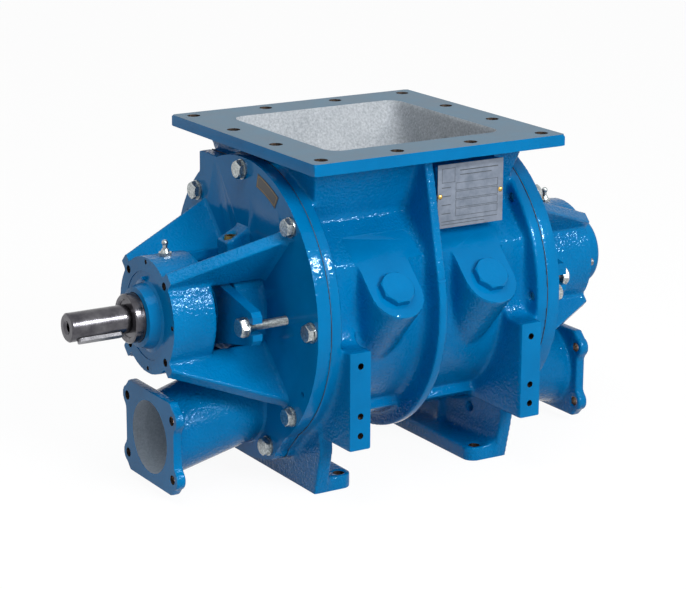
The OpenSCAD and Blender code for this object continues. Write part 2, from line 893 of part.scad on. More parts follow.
module shaft() {
    d = drive_d / 2;
    b = bearing_bore / 2 - slip;
    p = packing_d / 2;
    m = rotor_bore / 2;
    c = collar_bore_r - slip;
    t = b - 0.5;
    color(steel)
        difference() {
            translate([0, 0, axis_z])
                rotate([shaft_turn, 0, 0])
                    translate([0, 0, -axis_z])
                        turned()
                            polygon([[0, -shaft_end], [d - 1.5, -shaft_end], [d, -shaft_end + 1.5],
                                     [d, -collar_end + 2], [c, -collar_end + 2], [c, -bearing_out],
                                     [b, -bearing_out], [b, -bearing_u], [p, -bearing_u],
                                     [p, -rotor_half], [m, -rotor_half], [m, rotor_half],
                                     [p, rotor_half], [p, bearing_u], [b, bearing_u],
                                     [b, bearing_out + 2], [t, bearing_out + 2], [t, nut_end + 2],
                                     [t - 1.5, nut_end + 3.5], [0, nut_end + 3.5]]);
            rod_axis(5, -shaft_end - bite, -shaft_end + 24);
            turned()
                polygon([[0, -shaft_end - bite], [7.5 + bite, -shaft_end - bite],
                         [4, -shaft_end + 3.5], [0, -shaft_end + 3.5]]);
            at_key()
                slot_plate(key_len + 2 * slip, key_w + 2 * slip, key_h + bite);
            pin_pair(5 + slip, rotor_bore);
        }
}

// Moves to the floor of the key seat
module at_key() {
    translate([-shaft_end + 7 + key_len / 2, 0, axis_z])
        rotate([90 - key_angle, 0, 0])
            translate([0, 0, drive_d / 2 - 4])
                children();
}

// Plate with round ends, as a feather key has
module slot_plate(len, w, h) {
    linear_extrude(h) {
        square([len - w, w], center = true);
        for (s = [-1, 1])
            translate([s * (len - w) / 2, 0])
                circle(w / 2);
    }
}

module shaft_key() {
    color(steel)
        at_key()
            slot_plate(key_len, key_w, key_h);
}

module drive_collar() {
    r = collar_d / 2;
    color(steel)
        at_drive()
            turned()
                polygon([[collar_bore_r, bearing_out], [r, bearing_out], [r, collar_end - 1.2],
                         [r - 1.2, collar_end], [collar_bore_r + 1.5, collar_end],
                         [collar_bore_r, collar_end - 1.5]]);
}

module blind_lock_washer() {
    color(steel)
        turned()
            translate([bearing_bore / 2, bearing_out])
                square([6.5, 2]);
}

module blind_lock_nut() {
    color(steel)
        difference() {
            turned()
                translate([bearing_bore / 2 - 0.4, bearing_out + 2])
                    square([8.4, nut_end - bearing_out - 2]);
            for (a = [45 : 90 : 315])
                translate([0, 0, axis_z])
                    rotate([a, 0, 0])
                        translate([bearing_out + 2 - bite, -3, 25.5])
                            cube([nut_end - bearing_out, 6, 5]);
        }
}

// ---- bearings ---------------------------------------------------------------------------

// Round groove that both races share
module ball_track() {
    translate([pitch_r, bearing_u + bearing_w / 2])
        circle(groove_r);
}

module outer_race() {
    color(steel)
        turned()
            difference() {
                box2([outer_race_r, bearing_u], [bearing_r - slip, bearing_out]);
                ball_track();
            }
}

module inner_race() {
    color(steel)
        turned()
            difference() {
                box2([bearing_bore / 2, bearing_u], [inner_race_r, bearing_out]);
                ball_track();
            }
}

// Places a piece at each ball
module at_balls() {
    for (i = [0 : ball_n - 1])
        translate([bearing_u + bearing_w / 2, 0, axis_z])
            rotate([i * 360 / ball_n, 0, 0])
                translate([0, 0, pitch_r])
                    children();
}

module bearing_balls() {
    color(steel)
        at_balls()
            sphere(r = ball_d / 2, $fn = 48);
}

module bearing_cage() {
    color(brass)
        difference() {
            turned()
                box2([inner_race_r + 1.2, bearing_u + 1.5], [outer_race_r - 1.2, bearing_out - 1.5]);
            at_balls()
                translate([0, 0, inner_race_r - pitch_r])
                    cylinder(r = ball_d / 2 + fit, h = outer_race_r - inner_race_r);
        }
}

module drive_bearing_cap() {
    bore = collar_d / 2 + 0.4;
    color(paint)
        at_drive()
            difference() {
                turned()
                    polygon([[bore + 7, bearing_out + fit], [bearing_r - slip, bearing_out + fit],
                             [bearing_r - slip, counterbore_u], [counterbore_r - slip, counterbore_u],
                             [counterbore_r - slip, hub_face - 0.6], [bore + 12, hub_face - 0.6],
                             [bore + 8.5, hub_face + 1], [bore + 6.4, hub_face + 8],
                             [bore + 5.2, hub_face + 12], [bore, hub_face + 13],
                             [bore, hub_face - 4], [bore + 7, hub_face - 4]]);
                polar(cap_pin_r, cap_pin_angle)
                    rod_x(2 + slip, hub_face - 7, hub_face + bite);
            }
}

module drive_cap_pin() {
    color(paint)
        at_drive()
            polar(cap_pin_r, cap_pin_angle)
                rod_x(2, hub_face - 7, hub_face + 3.5);
}

module blind_bearing_cap() {
    r = counterbore_r - slip;
    color(paint)
        turned()
            polygon([[nose_bore, bearing_out + fit], [bearing_r - slip, bearing_out + fit],
                     [bearing_r - slip, counterbore_u], [r, counterbore_u],
                     [r, hub_face - 0.6], [nose_r + 3.5, hub_face - 0.6], [nose_r + 1, hub_face + 1],
                     [nose_r, hub_face + 4], [nose_r, nose_end - 3], [nose_r - 0.9, nose_end - 0.9],
                     [nose_r - 3, nose_end], [0, nose_end], [0, nose_end - nose_wall],
                     [nose_bore, nose_end - nose_wall]]);
}

// Set screw in the front of the hub face, standing a little proud
module blind_cap_grub_screw() {
    color(zinc)
        polar(hub_bolt_r, 0)
            difference() {
                rod_x(grub_r, hub_face - grub_len + 1, hub_face + 3.6);
                translate([hub_face + 3.6 - 3, 0, 0])
                    rotate([0, 90, 0])
                        cylinder(r = 2.3, h = 3 + bite, $fn = 6);
            }
}

// Lip seal from u0 to u1 in a seat of radius r, its lip on a shaft of radius s
module lip_seal(r, s, u0, u1) {
    color(dark)
        turned()
            polygon([[r - slip, u0], [r - slip, u1], [s + 3.5, u1], [s + 2, u1 - 1.5],
                     [s + 0.1, u0 + 5.2], [s + 0.1, u0 + 4.2], [s + 3, u0 + 2.6],
                     [s + 3, u0]]);
}

module drive_shaft_seal() {
    at_drive()
        lip_seal(collar_d / 2 + 7.4, collar_d / 2, bearing_out + 1.5, hub_face - 4);
}

module inboard_seal() {
    lip_seal(seal_bore_r, packing_d / 2, window_end + 0.5, seal_seat_end - 0.5);
}

// ---- packing and glands -------------------------------------------------------------------

module packing_rings() {
    color("#c9c2b0")
        for (u = [box_floor, box_floor + packing_w, outer_ring_u])
            turned()
                translate([packing_d / 2 + 0.1, u])
                    square([packing_s - 0.15, packing_w - slip]);
}

// Ring with grooves and cross holes that spreads the purge air
module lantern_ring() {
    mid = lantern_u + lantern_w / 2;
    color(brass)
        difference() {
            turned()
                difference() {
                    translate([packing_d / 2 + 0.3, lantern_u])
                        square([packing_s - 0.35, lantern_w]);
                    translate([box_bore_r - 2.2, mid - 3])
                        square([5, 6]);
                    translate([packing_d / 2 - 2, mid - 3])
                        square([4, 6]);
                }
            for (a = [0 : 45 : 315])
                translate([mid, 0, axis_z])
                    rotate([a, 0, 0])
                        cylinder(r = 2, h = 40);
        }
}

// Follower with two forked ears, whose slots let the bolts be slipped in from the side
module gland() {
    ear = gland_bolt_y + 14;
    slot_r = bolt_d / 2 + 0.5;
    front = gland_u + gland_t;
    color(paint)
        difference() {
            union() {
                translate([0, 0, axis_z])
                    along_x(gland_u, front) {
                        polygon([[-ear, -12], [-ear + 4, -17], [-60, -25], [0, -37], [60, -25],
                                 [ear - 4, -17], [ear, -12], [ear, 12], [ear - 4, 17], [60, 25],
                                 [0, 37], [-60, 25], [-ear + 4, 17], [-ear, 12]]);
                        circle(box_bore_r + 3);
                    }
                rod_axis(box_bore_r - 0.1, gland_nose, gland_u + bite);
                rod_axis(packing_d / 2 + 7, gland_u, front + 1.5);
            }
            rod_axis(packing_d / 2 + 0.5, gland_nose - bite, front + 2 * bite);
            turned()
                translate([0, front - 3])
                    square([packing_d / 2 + 4, 5]);
            for (s = [-1, 1])
                translate([0, s * gland_bolt_y, axis_z])
                    along_x(gland_u - bite, front + bite) {
                        circle(slot_r);
                        translate([s > 0 ? 0 : -20, -slot_r])
                            square([20, 2 * slot_r]);
                    }
        }
}

// Set bolts with a washer face under the head
module gland_bolts() {
    front = gland_u + gland_t;
    color(zinc)
        for (s = [-1, 1])
            translate([0, s * gland_bolt_y, axis_z]) {
                rod_x(bolt_d / 2, gland_bolt_end, front + bite);
                rod_x(gland_af / 2 + 1.2, front, front + 1.8);
                hex_head(front + 1.8 - bite / 4, gland_af, 7.5);
            }
}

module purge_bushing() {
    color(brass)
        translate([port_u, 0, axis_z + 55])
            difference() {
                cylinder(r = bushing_r, h = 16.5);
                translate([0, 0, -bite])
                    cylinder(r = port_r - 0.5, h = 20);
            }
}

module grease_nipple() {
    color(zinc)
        translate([nipple_u, 0, fitting_z]) {
            translate([0, 0, -9])
                cylinder(r = nipple_r, h = 9 + bite);
            cylinder(r = 7.4, h = 3.4, $fn = 6);
            translate([0, 0, 3.4 - bite / 2])
                cylinder(r1 = 5, r2 = 3.4, h = 4);
            translate([0, 0, 6])
                cylinder(r = 2.4, h = 6.5);
            translate([0, 0, 13.2])
                sphere(r = 3.3);
        }
}

module blind_relief_fitting() {
    color(brass)
        translate([relief_u, 0, axis_z + hub_r]) {
            translate([0, 0, -9])
                cylinder(r = relief_r, h = 12);
            cylinder(r = 5.2, h = 7, $fn = 6);
            translate([0, 0, 6])
                cylinder(r = 4.6, h = 5);
            translate([0, 0, 10])
                cylinder(r = 3.4, h = 8);
        }
}

// ---- plugs and labels -----------------------------------------------------------------------

module port_plug(s) {
    r = plug_af / 2 / cos(22.5);
    color(paint)
        at_boss(s)
            translate([0, 3, plug_face]) {
                translate([0, 0, -28])
                    cylinder(r = plug_shank_r, h = 28 + bite);
                intersection() {
                    rotate(22.5)
                        cylinder(r = r, h = plug_head_h, $fn = 8);
                    translate([0, 0, -bite])
                        cylinder(r1 = plug_af / 2 + plug_head_h + bite, r2 = plug_af / 2 - 0.5,
                                 h = plug_head_h + bite);
                }
            }
}

module nameplate() {
    color("#c6c9cb")
        difference() {
            translate([plate_x0, plate_y - plate_t, plate_z0])
                cube([plate_w, plate_t, plate_h]);
            for (x = [plate_x0 + 3, plate_x0 + plate_w - 3])
                translate([x, plate_y - plate_t - bite, plate_z0 + plate_h / 2])
                    rotate([-90, 0, 0])
                        cylinder(r = 1.6, h = plate_t + 2 * bite);
        }
}

module nameplate_rivets() {
    color(brass)
        for (x = [plate_x0 + 3, plate_x0 + plate_w - 3])
            translate([x, plate_y, plate_z0 + plate_h / 2])
                rotate([90, 0, 0]) {
                    translate([0, 0, -7])
                        cylinder(r = 1.5, h = 7 + plate_t + bite);
                    intersection() {
                        translate([0, 0, plate_t])
                            cylinder(r = 2.8, h = 3);
                        translate([0, 0, plate_t - 2.3])
                            sphere(r = 3.63);
                    }
                }
}

// Strip on the drive end cover that shows the turning direction
module rotation_label() {
    color(dark)
        at_drive()
            along_x(cover_out, cover_out + 0.4)
                translate([0, axis_z])
                    intersection() {
                        difference() {
                            circle(bolt_circle_r + 5);
                            circle(bolt_circle_r - 9.5);
                        }
                        polygon([[0, 0], [-200 * cos(59), 200 * sin(59)],
                                 [-200 * cos(68), 220 * sin(68)],
                                 [-200 * cos(77), 200 * sin(77)]]);
                    }
}

housing();
color(paint) at_drive() end_cover(false);  // drive_end_cover
color(paint) end_cover(true);  // blind_end_cover
at_drive() cover_gasket();  // drive_cover_gasket
cover_gasket();  // blind_cover_gasket
at_drive() cover_bolts();  // drive_cover_bolts
cover_bolts();  // blind_cover_bolts
at_drive() cover_washers();  // drive_cover_washers
cover_washers();  // blind_cover_washers
rotor();
shaft();
shaft_key();
rotor_pins();
drive_collar();
blind_lock_nut();
blind_lock_washer();
at_drive() outer_race();  // drive_bearing_outer_race
outer_race();  // blind_bearing_outer_race
at_drive() inner_race();  // drive_bearing_inner_race
inner_race();  // blind_bearing_inner_race
at_drive() bearing_balls();  // drive_bearing_balls
bearing_balls();  // blind_bearing_balls
at_drive() bearing_cage();  // drive_bearing_cage
bearing_cage();  // blind_bearing_cage
drive_bearing_cap();
blind_bearing_cap();
drive_cap_pin();
blind_cap_grub_screw();
drive_shaft_seal();
at_drive() inboard_seal();  // drive_inboard_seal
inboard_seal();  // blind_inboard_seal
at_drive() packing_rings();  // drive_packing_rings
packing_rings();  // blind_packing_rings
at_drive() lantern_ring();  // drive_lantern_ring
lantern_ring();  // blind_lantern_ring
at_drive() gland();  // drive_gland
gland();  // blind_gland
at_drive() gland_bolts();  // drive_gland_bolts
gland_bolts();  // blind_gland_bolts
at_drive() purge_bushing();  // drive_purge_bushing
purge_bushing();  // blind_purge_bushing
at_drive() grease_nipple();  // drive_grease_nipple
grease_nipple();  // blind_grease_nipple
blind_relief_fitting();
port_plug(-1);  // left_port_plug
port_plug(1);  // right_port_plug
nameplate();
nameplate_rivets();
rotation_label();
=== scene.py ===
# %% [markdown]
# # A rotary airlock valve
# A rotary airlock lets powder or pellets fall from a hopper into a pipe that is full of moving air, and
# keeps the air from blowing back. This one is an iron casting in glossy blue enamel, with a square
# machined inlet on top, two covers with pipe stubs and bearing hubs, and a ground steel shaft end.
# The measured solids are loaded first. Everything after this cell only dresses them.
# %% Load the measured frame
import math

import bmesh
import bpy
import numpy as np
from mathutils import Matrix, Vector


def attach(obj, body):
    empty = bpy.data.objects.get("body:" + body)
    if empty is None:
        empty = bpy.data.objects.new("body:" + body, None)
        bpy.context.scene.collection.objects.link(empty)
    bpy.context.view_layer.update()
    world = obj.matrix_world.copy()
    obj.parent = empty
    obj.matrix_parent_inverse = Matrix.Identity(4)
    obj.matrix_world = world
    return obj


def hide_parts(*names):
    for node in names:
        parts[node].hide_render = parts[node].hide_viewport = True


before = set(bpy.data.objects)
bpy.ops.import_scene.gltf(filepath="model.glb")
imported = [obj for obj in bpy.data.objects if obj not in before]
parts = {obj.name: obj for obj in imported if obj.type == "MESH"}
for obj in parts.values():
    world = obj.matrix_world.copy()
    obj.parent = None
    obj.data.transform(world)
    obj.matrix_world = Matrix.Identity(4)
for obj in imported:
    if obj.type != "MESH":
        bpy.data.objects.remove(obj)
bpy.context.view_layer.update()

# %% [markdown]
# ## Two small helpers
# Colours are written as sRGB hex, as a colour picker shows them, but a shader works in linear light, so
# one function converts them. Shader graphs are built by one other function, which adds a node and gives
# it its settings and links in the same line, so that a material reads from top to bottom.
# %% Colour and node helpers
def linear(hexcode):
    """Linear RGBA of an sRGB hex colour: c / 12.92 up to 0.04045, and ((c + 0.055) / 1.055) ^ 2.4 above."""
    c = np.array([int(hexcode[i:i + 2], 16) for i in (1, 3, 5)]) / 255
    return [*np.where(c <= 0.04045, c / 12.92, ((c + 0.055) / 1.055) ** 2.4), 1.0]


def add(tree, kind, settings=None, **sockets):
    """Adds a node to the tree. Settings are the node's own properties; each socket gets a value or is
    linked from another node's output. A socket is named with underscores for spaces, or by number, as i0."""
    made = tree.nodes.new(kind)
    for key, value in (settings or {}).items():
        setattr(made, key, value)
    for key, value in sockets.items():
        by_number = key[0] == "i" and key[1:].isdigit()
        socket = made.inputs[int(key[1:])] if by_number else made.inputs[key.replace("_", " ")]
        if isinstance(value, bpy.types.NodeSocket):
            tree.links.new(value, socket)
        else:
            socket.default_value = value
    return made


def finish(name):
    """An empty node material: its tree, its Principled shader and the object's own coordinates."""
    material = bpy.data.materials.new(name)
    material.use_nodes = True
    tree = material.node_tree
    place = add(tree, "ShaderNodeTexCoord").outputs["Object"]
    return material, tree, tree.nodes["Principled BSDF"], place


MM = 0.001
print("enamel blue in linear light:", [round(v, 3) for v in linear("#006aa4")[:3]])

# %% [markdown]
# ## Camera
# The camera stands a little above the valve, off the front corner that shows the drive end, and has a
# long lens so that the edges stay nearly parallel. Its axes are written as a matrix made from its
# heading, its downward tilt and a small roll.
# %% Camera
HEADING, DOWN, ROLL = map(math.radians, (31.449, 15.369, 0.200))
EYE = Vector((-1.25971, -2.01759, 0.82695))
SENSOR_MM, LENS_MM = 36, 120.71
ahead = Vector((math.sin(HEADING) * math.cos(DOWN), math.cos(HEADING) * math.cos(DOWN), -math.sin(DOWN)))
level = ahead.cross(Vector((0, 0, 1))).normalized()
above = level.cross(ahead)
side = level * math.cos(ROLL) + above * math.sin(ROLL)
top = above * math.cos(ROLL) - level * math.sin(ROLL)
camera_data = bpy.data.cameras.new("camera")
camera_data.sensor_width = SENSOR_MM
camera_data.lens = LENS_MM
camera_data.clip_start, camera_data.clip_end = 0.1, 50
camera = bpy.data.objects.new("camera", camera_data)
camera.matrix_world = Matrix.Translation(EYE) @ Matrix((side, top, -ahead)).transposed().to_4x4()
bpy.context.scene.collection.objects.link(camera)
bpy.context.scene.camera = camera
print("camera looks along", [round(v, 3) for v in ahead])

# %% [markdown]
# ## Studio
# Glossy enamel shows its lamps as highlights, so their size matters as much as their power: a large soft
# box from the front gives broad highlights on the barrel, one overhead lights the inlet and the shaft, and
# a weak one on the left keeps the drive end from going black. A small bright lamp makes the grain of the
# casting sparkle; it counts in reflections only, or its hard light would wash out the paint's colour.
# The floor is pale paper: a camera and a mirror see most of it as plain white, and the rest of it takes
# the light and keeps the object's shadow.
# %% Lamps, world and floor
def soft_box(name, at, aim, width, height, watts):
    """A rectangular area lamp at one point, turned so that it shines at another."""
    data = bpy.data.lights.new(name, "AREA")
    data.shape = "RECTANGLE"
    data.size, data.size_y, data.energy = width, height, watts
    lamp = bpy.data.objects.new(name, data)
    lamp.location = at
    lamp.rotation_euler = (Vector(aim) - Vector(at)).to_track_quat("-Z", "Y").to_euler()
    bpy.context.scene.collection.objects.link(lamp)
    return lamp


def seen_directly(tree):
    """1 for rays that the camera, a mirror or a glass sends out, and 0 for the rays that only bring light."""
    rays = add(tree, "ShaderNodeLightPath")
    mirrored = add(tree, "ShaderNodeMath", {"operation": "MAXIMUM"}, i0=rays.outputs["Is Glossy Ray"],
                   i1=rays.outputs["Is Transmission Ray"])
    return add(tree, "ShaderNodeMath", {"operation": "MAXIMUM"}, i0=rays.outputs["Is Camera Ray"],
               i1=mirrored.outputs[0]).outputs[0]


soft_box("key_lamp", (0.3, -2.5, 1.5), (0, 0, 0.2), 1.0, 1.0, 44)
spark = soft_box("spark_lamp", (1.0, -1.9, 1.5), (0, 0, 0.2), 0.2, 0.2, 95)
spark.visible_diffuse = False
soft_box("overhead_lamp", (-0.7, -0.7, 2.3), (0, 0, 0.2), 1.2, 1.0, 15)
soft_box("left_lamp", (-2.4, -1.6, 0.9), (0, 0, 0.2), 0.5, 1.2, 2)

bpy.context.scene.view_settings.view_transform = "Standard"
world = bpy.data.worlds.new("studio")
world.use_nodes = True
bpy.context.scene.world = world
tree = world.node_tree
for old in list(tree.nodes):
    tree.nodes.remove(old)
room = add(tree, "ShaderNodeBackground", Color=linear("#f4f6f8"), Strength=0.3)
backdrop = add(tree, "ShaderNodeBackground", Color=(1, 1, 1, 1), Strength=1.0)
mixed = add(tree, "ShaderNodeMixShader", Fac=seen_directly(tree), i1=room.outputs[0],
            i2=backdrop.outputs[0])
add(tree, "ShaderNodeOutputWorld", Surface=mixed.outputs[0])

REACH, LEVEL = 9, -0.0005
floor_mesh = bpy.data.meshes.new("floor")
floor_mesh.from_pydata([(x * REACH, y * REACH, LEVEL) for x, y in ((-1, -1), (1, -1), (1, 1), (-1, 1))],
                       [], [(0, 1, 2, 3)])
floor = bpy.data.objects.new("floor", floor_mesh)
bpy.context.scene.collection.objects.link(floor)
paper, tree, shader, place = finish("pale_studio_paper")
shader.inputs["Base Color"].default_value = linear("#cfcfcf")
shader.inputs["Roughness"].default_value = 0.9
glow = add(tree, "ShaderNodeEmission", Color=(1, 1, 1, 1), Strength=1.1)
share = add(tree, "ShaderNodeMath", {"operation": "MULTIPLY"}, i0=seen_directly(tree), i1=0.85)
mixed = add(tree, "ShaderNodeMixShader", Fac=share.outputs[0], i1=shader.outputs[0], i2=glow.outputs[0])
tree.links.new(mixed.outputs[0], tree.nodes["Material Output"].inputs["Surface"])
floor_mesh.materials.append(paper)
print("four lamps and a pale floor")

# %% [markdown]
# ## Enamel over cast iron
# The castings are grey iron, painted with a glossy two-pack blue enamel. Paint doesn't fill the grain that
# the sand mould leaves, so an as-cast face sparkles with small pebbles a few millimetres across, while a
# face that was milled before it was painted is nearly smooth and shows only a slight orange peel. One
# material does both: an attribute named cast is 1 on as-cast skin and 0 on milled faces. The blue is
# painted darker toward navy where the surface turns away from the camera: a painted shade at grazing
# angles.
# %% Enamel
def enamel(name, cast, deep="#006aa4", bright="#0088ca"):
    """Glossy blue enamel. cast is a number, or None to read the attribute of that name from the mesh."""
    material, tree, shader, place = finish(name)
    pebble = add(tree, "ShaderNodeTexNoise", Vector=place, Scale=1 / (2.9 * MM), Detail=1.0, Roughness=0.4)
    grit = add(tree, "ShaderNodeTexNoise", Vector=place, Scale=1 / (1.6 * MM), Detail=0.0)
    peel = add(tree, "ShaderNodeTexNoise", Vector=place, Scale=1 / (5 * MM), Detail=0.0)
    cloud = add(tree, "ShaderNodeTexNoise", Vector=place, Scale=1 / (60 * MM), Detail=3.0)
    if cast is None:
        share = add(tree, "ShaderNodeAttribute", {"attribute_name": "cast"}).outputs["Fac"]
        grain = add(tree, "ShaderNodeMath", {"operation": "MULTIPLY_ADD"}, i0=share, i1=0.9,
                    i2=0.1).outputs[0]
    else:
        grain = 0.1 + 0.9 * cast
    tint = add(tree, "ShaderNodeMix", {"data_type": "RGBA"}, i0=cloud.outputs["Fac"], i6=linear(deep),
               i7=linear(bright))
    # Painted shade: the colour is mixed up to half way toward navy where the surface faces away from the
    # camera.
    slant = add(tree, "ShaderNodeLayerWeight", Blend=0.4)
    depth = add(tree, "ShaderNodeMapRange", Value=slant.outputs["Facing"], i1=0.2, i2=0.9, i3=0.0, i4=0.5)
    tint = add(tree, "ShaderNodeMix", {"data_type": "RGBA"}, i0=depth.outputs[0], i6=tint.outputs[2],
               i7=linear("#00315f"))
    rough = add(tree, "ShaderNodeMapRange", Value=cloud.outputs["Fac"], i3=0.08, i4=0.14)
    sand = add(tree, "ShaderNodeBump", Height=pebble.outputs["Fac"], Strength=grain, Distance=0.8 * MM)
    fine = add(tree, "ShaderNodeBump", Height=grit.outputs["Fac"], Strength=grain, Distance=0.12 * MM,
               Normal=sand.outputs[0])
    skin = add(tree, "ShaderNodeBump", Height=peel.outputs["Fac"], Strength=0.5, Distance=0.12 * MM,
               Normal=fine.outputs[0])
    tree.links.new(tint.outputs[2], shader.inputs["Base Color"])
    tree.links.new(rough.outputs[0], shader.inputs["Roughness"])
    tree.links.new(skin.outputs[0], shader.inputs["Normal"])
    shader.inputs["Specular IOR Level"].default_value = 0.13
    shader.inputs["Specular Tint"].default_value = linear("#a8d4ff")
    return material


cast_enamel = enamel("blue_enamel_on_casting", None)
turned_enamel = enamel("blue_enamel_on_turned_iron", 0.12)
small_cast_enamel = enamel("blue_enamel_on_small_casting", 0.6)
print("three enamels")

# %% [markdown]
# ## Bare and machined iron
# The inlet face was milled after painting and carries only a thin blue-grey rust guard, so it is duller
# and greyer than the enamel. The inlet funnel is as-cast inside, with a silver primer; the pipes are a
# darker grey. Milling leaves fine parallel marks, drawn as a noise stretched along the cut.
# %% Iron finishes
def milled(name, dark, pale, metal, rough, stretch, pitch=1.2 * MM):
    """Milled iron: tool marks are noise squeezed across the cut and stretched along it."""
    material, tree, shader, place = finish(name)
    along = add(tree, "ShaderNodeMapping", Vector=place, Scale=stretch)
    marks = add(tree, "ShaderNodeTexNoise", Vector=along.outputs[0], Scale=1 / pitch, Detail=2.0)
    cloud = add(tree, "ShaderNodeTexNoise", Vector=place, Scale=1 / (40 * MM), Detail=4.0, Roughness=0.6)
    both = add(tree, "ShaderNodeMath", {"operation": "MULTIPLY_ADD"}, i0=marks.outputs["Fac"], i1=0.45,
               i2=cloud.outputs["Fac"])
    spread = add(tree, "ShaderNodeMapRange", Value=both.outputs[0], i1=0.45, i2=1.0)
    tint = add(tree, "ShaderNodeMix", {"data_type": "RGBA"}, i0=spread.outputs[0], i6=linear(dark),
               i7=linear(pale))
    gloss = add(tree, "ShaderNodeMapRange", Value=both.outputs[0], i1=0.4, i2=1.1, i3=rough - 0.07,
                i4=rough + 0.09)
    bump = add(tree, "ShaderNodeBump", Height=marks.outputs["Fac"], Strength=0.4, Distance=0.05 * MM)
    tree.links.new(tint.outputs[2], shader.inputs["Base Color"])
    tree.links.new(gloss.outputs[0], shader.inputs["Roughness"])
    tree.links.new(bump.outputs[0], shader.inputs["Normal"])
    shader.inputs["Metallic"].default_value = metal
    return material


def primed(name, dark, pale, rough, grain=0.8):
    """Rough cast iron under a thin primer: pebbles of 2.5 mm over a slow change of shade."""
    material, tree, shader, place = finish(name)
    pebble = add(tree, "ShaderNodeTexNoise", Vector=place, Scale=1 / (2.5 * MM), Detail=3.0, Roughness=0.6)
    cloud = add(tree, "ShaderNodeTexNoise", Vector=place, Scale=1 / (35 * MM), Detail=2.0)
    shade = add(tree, "ShaderNodeMath", {"operation": "MULTIPLY"}, i0=cloud.outputs["Fac"], i1=0.4)
    both = add(tree, "ShaderNodeMath", {"operation": "MULTIPLY_ADD"}, i0=pebble.outputs["Fac"], i1=1.4,
               i2=shade.outputs[0])
    spread = add(tree, "ShaderNodeMapRange", Value=both.outputs[0], i1=0.5, i2=1.3)
    tint = add(tree, "ShaderNodeMix", {"data_type": "RGBA"}, i0=spread.outputs[0], i6=linear(dark),
               i7=linear(pale))
    bump = add(tree, "ShaderNodeBump", Height=pebble.outputs["Fac"], Strength=grain, Distance=0.8 * MM)
    tree.links.new(tint.outputs[2], shader.inputs["Base Color"])
    tree.links.new(bump.outputs[0], shader.inputs["Normal"])
    shader.inputs["Roughness"].default_value = rough
    return material


inlet_face = milled("guarded_milled_iron", "#33586f", "#4e768e", 0.3, 0.45, (1, 0.05, 1))
bored_iron = milled("bored_iron", "#6d7073", "#8c9093", 0.9, 0.34, (1, 0.1, 0.1))
silver_primer = primed("silver_primer_on_casting", "#8f979f", "#ced4da", 0.7)
pipe_primer = primed("grey_primer_on_casting", "#92a0ae", "#b8c3cf", 0.7, 0.4)
print("milled, bored and primed iron")

# %% [markdown]
# ## Steel, zinc, brass and the soft parts
# The shaft is ground: fine rings round it that blur the highlight along its length. The bolts are zinc
# plated, which is pale, slightly mottled and yellowish where the passivation gathers. Small fittings are
# brass or nickelled steel; seals are black rubber, the packing is braided graphite yarn, and the gaskets
# are grey fibre.
# %% Metal and seal finishes
def metal(name, dark, pale, rough, stretch=(1, 1, 1), grain=1.0 * MM, bump_mm=0.02, blotch=12 * MM):
    """A bare or plated metal: blotches shift its tint, and a stretched noise is its lay, which shifts its
    gloss.
    """
    material, tree, shader, place = finish(name)
    along = add(tree, "ShaderNodeMapping", Vector=place, Scale=stretch)
    lay = add(tree, "ShaderNodeTexNoise", Vector=along.outputs[0], Scale=1 / grain, Detail=2.0)
    cloud = add(tree, "ShaderNodeTexNoise", Vector=place, Scale=1 / blotch, Detail=3.0, Roughness=0.6)
    spread = add(tree, "ShaderNodeMapRange", Value=cloud.outputs["Fac"], i1=0.3, i2=0.7)
    tint = add(tree, "ShaderNodeMix", {"data_type": "RGBA"}, i0=spread.outputs[0], i6=linear(dark),
               i7=linear(pale))
    gloss = add(tree, "ShaderNodeMapRange", Value=lay.outputs["Fac"], i1=0.3, i2=0.7, i3=rough - 0.06,
                i4=rough + 0.06)
    bump = add(tree, "ShaderNodeBump", Height=lay.outputs["Fac"], Strength=0.5, Distance=bump_mm * MM)
    tree.links.new(tint.outputs[2], shader.inputs["Base Color"])
    tree.links.new(gloss.outputs[0], shader.inputs["Roughness"])
    tree.links.new(bump.outputs[0], shader.inputs["Normal"])
    shader.inputs["Metallic"].default_value = 1.0
    return material


def rubbery(name, dark, pale, rough, grain=0.6 * MM, weave=None):
    """A dull non-metal: fine grain, or for a braid a wave across the yarn."""
    material, tree, shader, place = finish(name)
    grit = add(tree, "ShaderNodeTexNoise", Vector=place, Scale=1 / grain, Detail=2.0)
    height = grit.outputs["Fac"]
    if weave:
        height = add(tree, "ShaderNodeTexWave", {"wave_type": "BANDS", "bands_direction": "DIAGONAL"},
                     Vector=place, Scale=1 / weave, Distortion=1.5, Detail=1.0).outputs["Fac"]
    tint = add(tree, "ShaderNodeMix", {"data_type": "RGBA"}, i0=height, i6=linear(dark), i7=linear(pale))
    bump = add(tree, "ShaderNodeBump", Height=height, Strength=0.6, Distance=0.15 * MM)
    tree.links.new(tint.outputs[2], shader.inputs["Base Color"])
    tree.links.new(bump.outputs[0], shader.inputs["Normal"])
    shader.inputs["Roughness"].default_value = rough
    return material


ground_steel = metal("ground_steel", "#48474c", "#67666a", 0.2, (1, 0.04, 0.04), 0.7 * MM)
bearing_steel = metal("bearing_steel", "#9a9da0", "#c0c3c6", 0.16, (1, 0.1, 0.1), 0.8 * MM)
machined_steel = metal("machined_steel", "#66666a", "#8c8c90", 0.3)
zinc_plate = metal("zinc_plated_steel", "#6f7679", "#c4caca", 0.32, blotch=2 * MM, bump_mm=0.12)
brass_finish = metal("turned_brass", "#9c7a3c", "#c9a75d", 0.3, blotch=4 * MM)
tarnished_brass = metal("tarnished_brass", "#4c3b24", "#8a6d40", 0.38, blotch=3 * MM)
drilled_iron = metal("drilled_iron", "#3a322d", "#857468", 0.36, blotch=2 * MM, bump_mm=0.1)
rotor_iron = metal("machined_rotor_iron", "#5f6265", "#84878a", 0.42, (1, 1, 1), 1.6 * MM, 0.08)
plate_metal = metal("brushed_aluminium_plate", "#666f7c", "#7c8491", 0.42, (0.05, 1, 1), 0.5 * MM)
